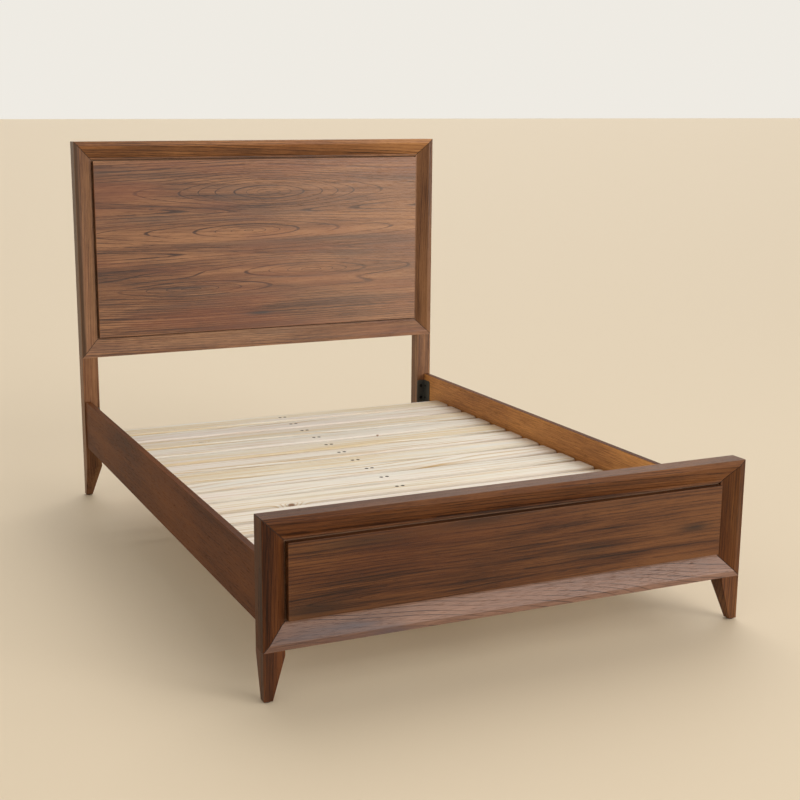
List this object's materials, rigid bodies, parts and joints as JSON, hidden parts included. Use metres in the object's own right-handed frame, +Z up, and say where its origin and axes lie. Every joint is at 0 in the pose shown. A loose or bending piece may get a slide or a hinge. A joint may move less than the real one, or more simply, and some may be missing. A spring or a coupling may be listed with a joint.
{
  "type": "wooden bed frame",
  "caption": "Full size wooden bed frame: panelled headboard and low footboard with bevelled mitred frames, tapered legs, side rails and a slatted base.",
  "frame": {"origin": "on the floor, at the middle of the bed's bounding box", "axes": "+X runs across the bed, to the right as seen from the foot, +Y runs from the foot to the headboard, +Z is up"},
  "size_m": [1.44, 2.027, 1.324],
  "materials": {
    "walnut_frame": "walnut stained, satin lacquer",
    "walnut_panel": "walnut stained veneer, satin lacquer",
    "plywood": "stained, matt",
    "pine": "planed, unfinished",
    "beech": "unfinished",
    "black_steel": "dark powder coat",
    "zinc_steel": "zinc plated",
    "insert_brass": "machined",
    "black_nylon": "moulded"
  },
  "bodies": {
    "bed": {"headboard_top_rail": "walnut_frame", "headboard_bottom_rail": "walnut_frame", "headboard_left_stile": "walnut_frame", "headboard_right_stile": "walnut_frame", "headboard_face_panel": "walnut_panel", "headboard_back_panel": "plywood", "headboard_left_leg": "walnut_frame", "headboard_right_leg": "walnut_frame", "footboard_top_rail": "walnut_frame", "footboard_bottom_rail": "walnut_frame", "footboard_left_stile": "walnut_frame", "footboard_right_stile": "walnut_frame", "footboard_face_panel": "walnut_panel", "footboard_back_panel": "plywood", "footboard_left_leg": "walnut_frame", "footboard_right_leg": "walnut_frame", "mitre_dowels": "beech", "leg_dowels": "beech", "leg_studs": "zinc_steel", "panel_screws": "zinc_steel", "foot_pads": "black_nylon", "left_side_rail": "walnut_frame", "right_side_rail": "walnut_frame", "left_slat_ledger": "pine", "right_slat_ledger": "pine", "ledger_screws": "zinc_steel", "head_left_bracket": "black_steel", "head_right_bracket": "black_steel", "foot_left_bracket": "black_steel", "foot_right_bracket": "black_steel", "bracket_bolts": "black_steel", "bracket_inserts": "insert_brass", "bracket_screws": "black_steel", "slat_01": "pine", "slat_02": "pine", "slat_03": "pine", "slat_04": "pine", "slat_05": "pine", "slat_06": "pine", "slat_07": "pine", "slat_08": "pine", "slat_09": "pine", "slat_10": "pine", "slat_11": "pine", "slat_12": "pine", "slat_13": "pine", "slat_14": "pine", "slat_15": "pine", "slat_screws": "zinc_steel", "centre_beam": "pine", "centre_leg_head": "pine", "centre_leg_middle": "pine", "centre_leg_foot": "pine", "centre_leg_studs": "zinc_steel", "glide_inserts": "insert_brass"},
    "glide_head": {"glide_head": "black_nylon"},
    "glide_middle": {"glide_middle": "black_nylon"},
    "glide_foot": {"glide_foot": "black_nylon"}
  },
  "joints": [
    {"name": "glide_head_height", "type": "slide", "parent": "bed", "child": "glide_head", "axis": [0, 0, 1], "range_m": [-0.012, 0.006]},
    {"name": "glide_middle_height", "type": "slide", "parent": "bed", "child": "glide_middle", "axis": [0, 0, 1], "range_m": [-0.012, 0.006]},
    {"name": "glide_foot_height", "type": "slide", "parent": "bed", "child": "glide_foot", "axis": [0, 0, 1], "range_m": [-0.012, 0.006]}
  ]
}
